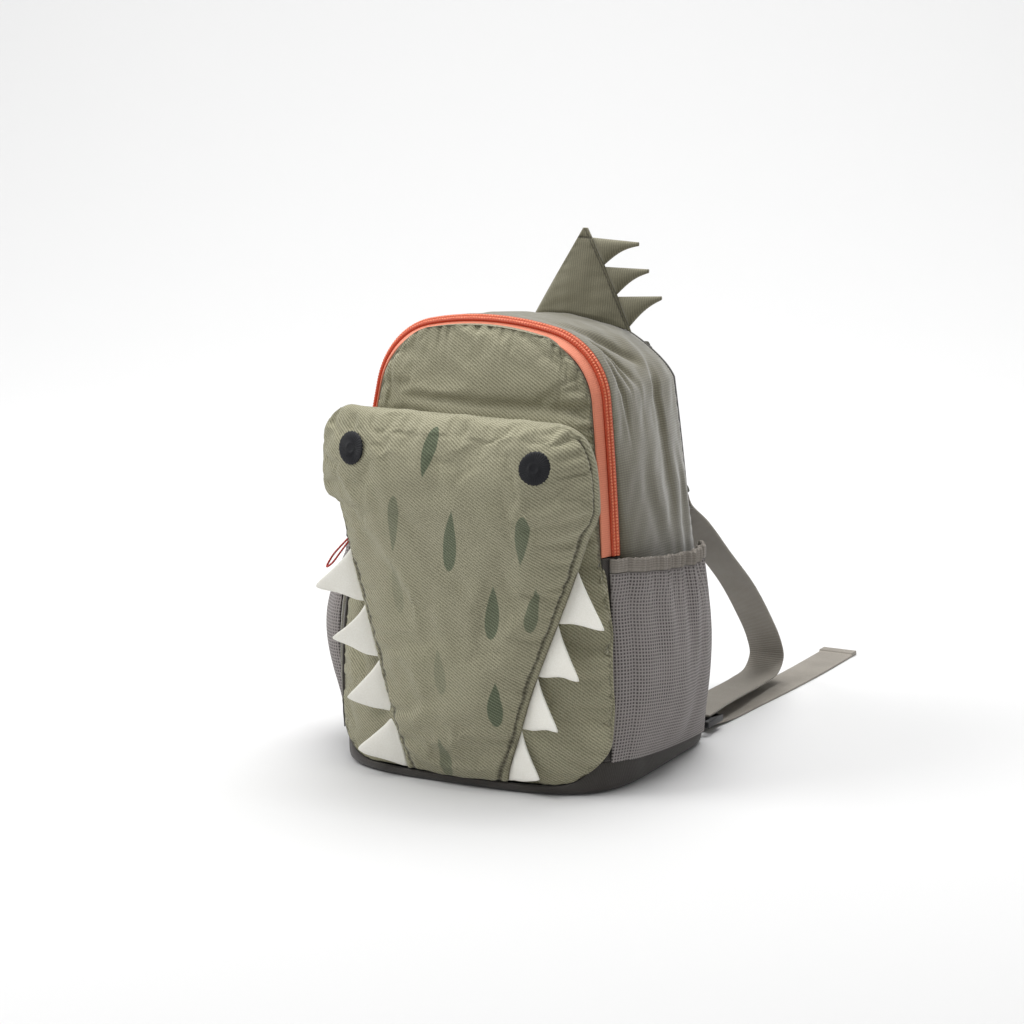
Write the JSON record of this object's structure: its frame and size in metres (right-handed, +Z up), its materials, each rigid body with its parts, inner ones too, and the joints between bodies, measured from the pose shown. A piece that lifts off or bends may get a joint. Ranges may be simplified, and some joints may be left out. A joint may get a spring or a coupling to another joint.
{
  "type": "kids animal backpack",
  "caption": "Small round topped backpack with a stuffed crocodile head on its front, a zip round the front panel, mesh side pockets and a stuffed tail with spikes.",
  "frame": {"origin": "middle of the flat bottom of the base, on the floor that the bag stands on", "axes": "+Z up, -Y towards the front with the head, +X to the viewer's right when facing the front"},
  "size_m": [0.2486, 0.4359, 0.33],
  "materials": {
    "sage_twill": "matt woven twill",
    "olive_nylon": "matt nylon with a fine rib",
    "charcoal_nylon": "matt nylon",
    "orange_tape": "matt woven tape",
    "orange_coil": "satin coil",
    "grey_mesh": "open square mesh",
    "grey_webbing": "ribbed webbing",
    "tail_canvas": "matt ribbed canvas",
    "white_felt": "smooth felt",
    "black_thread": "satin stitch",
    "black_plastic": "matt moulded",
    "red_cord": "fine twisted cord"
  },
  "bodies": {
    "root": {"base_tray": "charcoal_nylon", "front_panel": "sage_twill", "back_panel": "charcoal_nylon", "gusset": "olive_nylon", "zip_tape": "orange_tape", "zip_chain": "orange_coil", "zip_slider": "black_plastic", "zip_pull": "red_cord", "facing_right": "charcoal_nylon", "facing_left": "charcoal_nylon", "pocket_right": "grey_mesh", "pocket_left": "grey_mesh", "pocket_hem_right": "grey_mesh", "pocket_hem_left": "grey_mesh", "head": "sage_twill", "eye_right": "black_thread", "eye_left": "black_thread", "tooth_1_right": "white_felt", "tooth_1_left": "white_felt", "tooth_2_right": "white_felt", "tooth_2_left": "white_felt", "tooth_3_right": "white_felt", "tooth_3_left": "white_felt", "tooth_4_right": "white_felt", "tooth_4_left": "white_felt", "tail": "tail_canvas", "tail_spike_1": "tail_canvas", "tail_spike_2": "tail_canvas", "tail_spike_3": "tail_canvas", "shoulder_strap_right": "olive_nylon", "shoulder_strap_left": "olive_nylon", "webbing_loop_right": "grey_webbing", "webbing_loop_left": "grey_webbing", "webbing_free_end_right": "grey_webbing", "webbing_free_end_left": "grey_webbing", "ladder_lock_right": "black_plastic", "ladder_lock_left": "black_plastic", "lock_tab_right": "grey_webbing", "lock_tab_left": "grey_webbing"}
  },
  "joints": []
}
